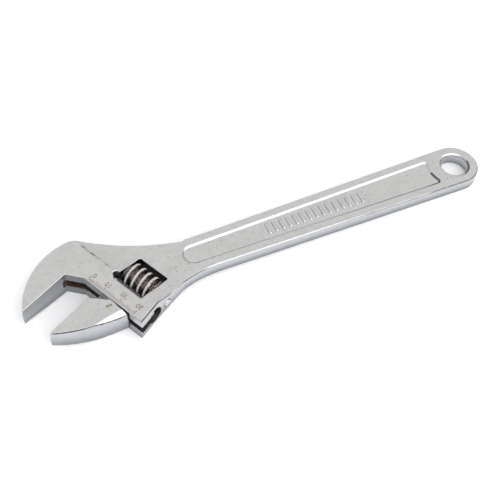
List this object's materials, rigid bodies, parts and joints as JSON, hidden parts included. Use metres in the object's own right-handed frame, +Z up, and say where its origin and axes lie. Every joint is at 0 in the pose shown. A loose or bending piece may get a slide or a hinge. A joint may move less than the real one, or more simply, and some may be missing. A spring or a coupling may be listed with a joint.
{
  "type": "adjustable wrench",
  "caption": "Open-ended adjustable wrench: flat steel handle with a hang hole, offset head, and a jaw that a knurled worm slides open and shut.",
  "frame": {"origin": "middle of the wrench's footprint, on the plane that its underside rests on", "axes": "+X along the handle from the head to the hang hole, +Y towards the fixed jaw's side, +Z up out of the face with the opening scale"},
  "size_m": [0.2564, 0.0592, 0.0143],
  "materials": {
    "body_chrome": "satin chrome over a forged surface",
    "jaw_chrome": "satin chrome over a forged surface",
    "worm_steel": "knurled, worn bright on the crests",
    "pin_steel": "ground flush",
    "spring_steel": "drawn wire"
  },
  "bodies": {
    "body": {"body": "body_chrome", "worm_pin": "pin_steel", "worm_spring": "spring_steel"},
    "jaw": {"movable_jaw": "jaw_chrome"},
    "worm": {"adjusting_worm": "worm_steel"}
  },
  "joints": [
    {"name": "jaw_slide", "type": "slide", "parent": "body", "child": "jaw", "axis": [0.4226, -0.9063, 0], "range_m": [-0.0179, 0.012]},
    {"name": "worm_spin", "type": "hinge", "parent": "body", "child": "worm", "pos_m": [-0.06991, -0.00398, 0.00715], "axis": [-0.4226, 0.9063, 0], "range_deg": [-1613, 1082]}
  ],
  "couplings": [
    {"joint": "worm_spin", "follows": "jaw_slide", "rad_per_m": 1570.8}
  ]
}
